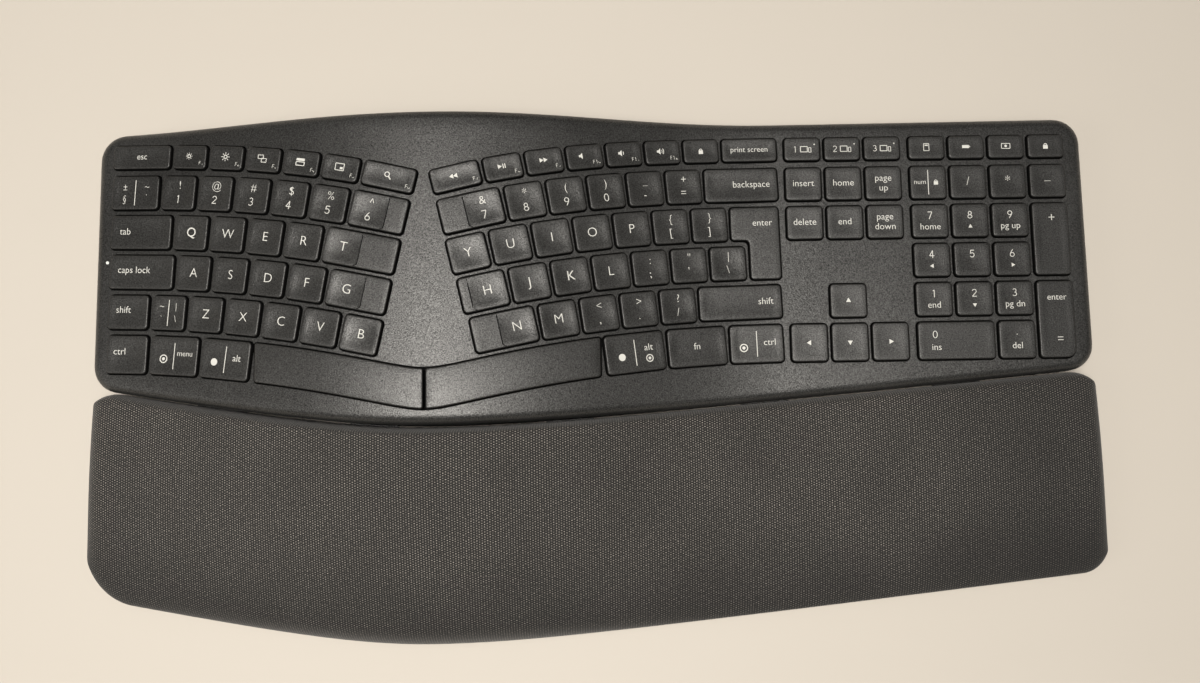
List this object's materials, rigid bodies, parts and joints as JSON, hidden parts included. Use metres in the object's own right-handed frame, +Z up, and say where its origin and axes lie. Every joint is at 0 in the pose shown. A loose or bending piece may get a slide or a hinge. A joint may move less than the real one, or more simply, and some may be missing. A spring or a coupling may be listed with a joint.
{
  "type": "ergonomic split keyboard",
  "caption": "Ergonomic keyboard with two bent key halves on a raised hump, a flat number pad and a padded fabric palm rest.",
  "frame": {"origin": "middle of the footprint, on the desk the feet stand on", "axes": "+X along the rows to the number pad, +Y from the palm rest to the back edge, +Z up"},
  "size_m": [0.4608, 0.2341, 0.0485],
  "materials": {
    "case_plastic": "fine moulded grain",
    "key_plastic": "smooth matte with white legends",
    "leg_plastic": "matte",
    "knit_fabric": "flecked knit",
    "foam": "open cell foam",
    "rubber": "matte",
    "silicone": "translucent white",
    "membrane_film": "clear film",
    "steel": "zinc plated",
    "board": "solder resist",
    "cell_jacket": "plain jacket",
    "light_pipe": "clear"
  },
  "bodies": {
    "keyboard": {"top_case": "case_plastic", "bottom_case": "case_plastic", "palm_rest_carrier": "case_plastic", "guide_plate": "case_plastic", "palm_rest_cover": "knit_fabric", "palm_rest_foam": "foam", "rubber_feet": "rubber", "dome_sheet": "silicone", "contact_membrane": "membrane_film", "support_plate": "steel", "battery_contacts": "steel", "case_screws": "steel", "palm_rest_screws": "steel", "leg_hinge_pins": "steel", "controller_board": "board", "battery_cells": "cell_jacket", "caps_lock_light": "light_pipe"},
    "escape_key": {"escape_key": "key_plastic"},
    "function_keys_left": {"function_keys_left": "key_plastic"},
    "number_keys_left": {"number_keys_left": "key_plastic"},
    "tab_key": {"tab_key": "key_plastic"},
    "upper_letter_keys_left": {"upper_letter_keys_left": "key_plastic"},
    "caps_lock_key": {"caps_lock_key": "key_plastic"},
    "home_letter_keys_left": {"home_letter_keys_left": "key_plastic"},
    "left_shift_key": {"left_shift_key": "key_plastic"},
    "lower_letter_keys_left": {"lower_letter_keys_left": "key_plastic"},
    "left_modifier_keys": {"left_modifier_keys": "key_plastic"},
    "left_space_bar": {"left_space_bar": "key_plastic"},
    "function_keys_right": {"function_keys_right": "key_plastic"},
    "number_keys_right": {"number_keys_right": "key_plastic"},
    "backspace_key": {"backspace_key": "key_plastic"},
    "upper_letter_keys_right": {"upper_letter_keys_right": "key_plastic"},
    "enter_key": {"enter_key": "key_plastic"},
    "home_letter_keys_right": {"home_letter_keys_right": "key_plastic"},
    "right_shift_key": {"right_shift_key": "key_plastic"},
    "lower_letter_keys_right": {"lower_letter_keys_right": "key_plastic"},
    "right_modifier_keys": {"right_modifier_keys": "key_plastic"},
    "right_space_bar": {"right_space_bar": "key_plastic"},
    "device_keys": {"device_keys": "key_plastic"},
    "editing_keys": {"editing_keys": "key_plastic"},
    "arrow_up_key": {"arrow_up_key": "key_plastic"},
    "arrow_left_key": {"arrow_left_key": "key_plastic"},
    "arrow_down_key": {"arrow_down_key": "key_plastic"},
    "arrow_right_key": {"arrow_right_key": "key_plastic"},
    "pad_function_keys": {"pad_function_keys": "key_plastic"},
    "pad_operator_keys": {"pad_operator_keys": "key_plastic"},
    "pad_digit_keys": {"pad_digit_keys": "key_plastic"},
    "pad_plus_key": {"pad_plus_key": "key_plastic"},
    "pad_enter_key": {"pad_enter_key": "key_plastic"},
    "pad_zero_key": {"pad_zero_key": "key_plastic"},
    "pad_point_key": {"pad_point_key": "key_plastic"},
    "left_tall_leg": {"left_tall_leg": "leg_plastic"},
    "left_short_leg": {"left_short_leg": "leg_plastic"},
    "right_tall_leg": {"right_tall_leg": "leg_plastic"},
    "right_short_leg": {"right_short_leg": "leg_plastic"},
    "power_switch": {"power_switch": "leg_plastic"},
    "battery_door": {"battery_door": "case_plastic"}
  },
  "joints": [
    {"name": "escape_key_press", "type": "slide", "parent": "keyboard", "child": "escape_key", "axis": [0.1791, 0, -0.9838], "range_m": [0, 0.0018], "stiffness_N_per_m": 220, "springref_m": -0.001},
    {"name": "function_keys_left_press", "type": "slide", "parent": "keyboard", "child": "function_keys_left", "axis": [0.1583, 0, -0.9874], "range_m": [0, 0.0018], "stiffness_N_per_m": 1320, "springref_m": -0.001},
    {"name": "number_keys_left_press", "type": "slide", "parent": "keyboard", "child": "number_keys_left", "axis": [0.167, 0, -0.986], "range_m": [0, 0.0018], "stiffness_N_per_m": 1540, "springref_m": -0.001},
    {"name": "tab_key_press", "type": "slide", "parent": "keyboard", "child": "tab_key", "axis": [0.181, 0, -0.9835], "range_m": [0, 0.0018], "stiffness_N_per_m": 220, "springref_m": -0.001},
    {"name": "upper_letter_keys_left_press", "type": "slide", "parent": "keyboard", "child": "upper_letter_keys_left", "axis": [0.1833, 0, -0.9831], "range_m": [0, 0.0018], "stiffness_N_per_m": 1100, "springref_m": -0.001},
    {"name": "caps_lock_key_press", "type": "slide", "parent": "keyboard", "child": "caps_lock_key", "axis": [0.1834, 0, -0.983], "range_m": [0, 0.0018], "stiffness_N_per_m": 220, "springref_m": -0.001},
    {"name": "home_letter_keys_left_press", "type": "slide", "parent": "keyboard", "child": "home_letter_keys_left", "axis": [0.1854, 0, -0.9827], "range_m": [0, 0.0018], "stiffness_N_per_m": 1100, "springref_m": -0.001},
    {"name": "left_shift_key_press", "type": "slide", "parent": "keyboard", "child": "left_shift_key", "axis": [0.1652, 0, -0.9863], "range_m": [0, 0.0018], "stiffness_N_per_m": 220, "springref_m": -0.001},
    {"name": "lower_letter_keys_left_press", "type": "slide", "parent": "keyboard", "child": "lower_letter_keys_left", "axis": [0.1815, 0, -0.9834], "range_m": [0, 0.0018], "stiffness_N_per_m": 1320, "springref_m": -0.001},
    {"name": "left_modifier_keys_press", "type": "slide", "parent": "keyboard", "child": "left_modifier_keys", "axis": [0.2063, 0, -0.9785], "range_m": [0, 0.0018], "stiffness_N_per_m": 660, "springref_m": -0.001},
    {"name": "left_space_bar_press", "type": "slide", "parent": "keyboard", "child": "left_space_bar", "axis": [0, 0, -1], "range_m": [0, 0.0018], "stiffness_N_per_m": 440, "springref_m": -0.001},
    {"name": "function_keys_right_press", "type": "slide", "parent": "keyboard", "child": "function_keys_right", "axis": [-0.1705, 0, -0.9854], "range_m": [0, 0.0018], "stiffness_N_per_m": 1760, "springref_m": -0.001},
    {"name": "number_keys_right_press", "type": "slide", "parent": "keyboard", "child": "number_keys_right", "axis": [-0.1933, 0, -0.9811], "range_m": [0, 0.0018], "stiffness_N_per_m": 1320, "springref_m": -0.001},
    {"name": "backspace_key_press", "type": "slide", "parent": "keyboard", "child": "backspace_key", "axis": [-0.0911, 0, -0.9958], "range_m": [0, 0.0018], "stiffness_N_per_m": 220, "springref_m": -0.001},
    {"name": "upper_letter_keys_right_press", "type": "slide", "parent": "keyboard", "child": "upper_letter_keys_right", "axis": [-0.1887, 0, -0.982], "range_m": [0, 0.0018], "stiffness_N_per_m": 1540, "springref_m": -0.001},
    {"name": "enter_key_press", "type": "slide", "parent": "keyboard", "child": "enter_key", "axis": [-0.0353, 0, -0.9994], "range_m": [0, 0.0018], "stiffness_N_per_m": 220, "springref_m": -0.001},
    {"name": "home_letter_keys_right_press", "type": "slide", "parent": "keyboard", "child": "home_letter_keys_right", "axis": [-0.2021, 0, -0.9794], "range_m": [0, 0.0018], "stiffness_N_per_m": 1540, "springref_m": -0.001},
    {"name": "right_shift_key_press", "type": "slide", "parent": "keyboard", "child": "right_shift_key", "axis": [-0.1018, 0, -0.9948], "range_m": [0, 0.0018], "stiffness_N_per_m": 220, "springref_m": -0.001},
    {"name": "lower_letter_keys_right_press", "type": "slide", "parent": "keyboard", "child": "lower_letter_keys_right", "axis": [-0.2249, 0, -0.9744], "range_m": [0, 0.0018], "stiffness_N_per_m": 1100, "springref_m": -0.001},
    {"name": "right_modifier_keys_press", "type": "slide", "parent": "keyboard", "child": "right_modifier_keys", "axis": [-0.1674, 0, -0.9859], "range_m": [0, 0.0018], "stiffness_N_per_m": 660, "springref_m": -0.001},
    {"name": "right_space_bar_press", "type": "slide", "parent": "keyboard", "child": "right_space_bar", "axis": [0, 0, -1], "range_m": [0, 0.0018], "stiffness_N_per_m": 440, "springref_m": -0.001},
    {"name": "device_keys_press", "type": "slide", "parent": "keyboard", "child": "device_keys", "axis": [0, 0, -1], "range_m": [0, 0.0018], "stiffness_N_per_m": 660, "springref_m": -0.001},
    {"name": "editing_keys_press", "type": "slide", "parent": "keyboard", "child": "editing_keys", "axis": [0, 0, -1], "range_m": [0, 0.0018], "stiffness_N_per_m": 1320, "springref_m": -0.001},
    {"name": "arrow_up_key_press", "type": "slide", "parent": "keyboard", "child": "arrow_up_key", "axis": [0, 0, -1], "range_m": [0, 0.0018], "stiffness_N_per_m": 220, "springref_m": -0.001},
    {"name": "arrow_left_key_press", "type": "slide", "parent": "keyboard", "child": "arrow_left_key", "axis": [0, 0, -1], "range_m": [0, 0.0018], "stiffness_N_per_m": 220, "springref_m": -0.001},
    {"name": "arrow_down_key_press", "type": "slide", "parent": "keyboard", "child": "arrow_down_key", "axis": [0, 0, -1], "range_m": [0, 0.0018], "stiffness_N_per_m": 220, "springref_m": -0.001},
    {"name": "arrow_right_key_press", "type": "slide", "parent": "keyboard", "child": "arrow_right_key", "axis": [0, 0, -1], "range_m": [0, 0.0018], "stiffness_N_per_m": 220, "springref_m": -0.001},
    {"name": "pad_function_keys_press", "type": "slide", "parent": "keyboard", "child": "pad_function_keys", "axis": [0, 0, -1], "range_m": [0, 0.0018], "stiffness_N_per_m": 880, "springref_m": -0.001},
    {"name": "pad_operator_keys_press", "type": "slide", "parent": "keyboard", "child": "pad_operator_keys", "axis": [0, 0, -1], "range_m": [0, 0.0018], "stiffness_N_per_m": 880, "springref_m": -0.001},
    {"name": "pad_digit_keys_press", "type": "slide", "parent": "keyboard", "child": "pad_digit_keys", "axis": [0, 0, -1], "range_m": [0, 0.0018], "stiffness_N_per_m": 1980, "springref_m": -0.001},
    {"name": "pad_plus_key_press", "type": "slide", "parent": "keyboard", "child": "pad_plus_key", "axis": [0, 0, -1], "range_m": [0, 0.0018], "stiffness_N_per_m": 220, "springref_m": -0.001},
    {"name": "pad_enter_key_press", "type": "slide", "parent": "keyboard", "child": "pad_enter_key", "axis": [0, 0, -1], "range_m": [0, 0.0018], "stiffness_N_per_m": 220, "springref_m": -0.001},
    {"name": "pad_zero_key_press", "type": "slide", "parent": "keyboard", "child": "pad_zero_key", "axis": [0, 0, -1], "range_m": [0, 0.0018], "stiffness_N_per_m": 220, "springref_m": -0.001},
    {"name": "pad_point_key_press", "type": "slide", "parent": "keyboard", "child": "pad_point_key", "axis": [0, 0, -1], "range_m": [0, 0.0018], "stiffness_N_per_m": 220, "springref_m": -0.001},
    {"name": "left_tall_leg_fold", "type": "hinge", "parent": "keyboard", "child": "left_tall_leg", "pos_m": [-0.18318, -0.07686, 0.0038], "axis": [-1, 0, 0], "range_deg": [0, 90]},
    {"name": "left_short_leg_fold", "type": "hinge", "parent": "keyboard", "child": "left_short_leg", "pos_m": [-0.14318, -0.08408, 0.0038], "axis": [-1, 0, 0], "range_deg": [0, 90]},
    {"name": "right_tall_leg_fold", "type": "hinge", "parent": "keyboard", "child": "right_tall_leg", "pos_m": [0.18182, -0.06969, 0.0038], "axis": [-1, 0, 0], "range_deg": [0, 90]},
    {"name": "right_short_leg_fold", "type": "hinge", "parent": "keyboard", "child": "right_short_leg", "pos_m": [0.14182, -0.0738, 0.0038], "axis": [-1, 0, 0], "range_deg": [0, 90]},
    {"name": "power_switch_slide", "type": "slide", "parent": "keyboard", "child": "power_switch", "axis": [1, 0, 0], "range_m": [0, 0.003]},
    {"name": "battery_door_pull", "type": "slide", "parent": "keyboard", "child": "battery_door", "axis": [0, 0, -1], "range_m": [0, 0.02]}
  ]
}
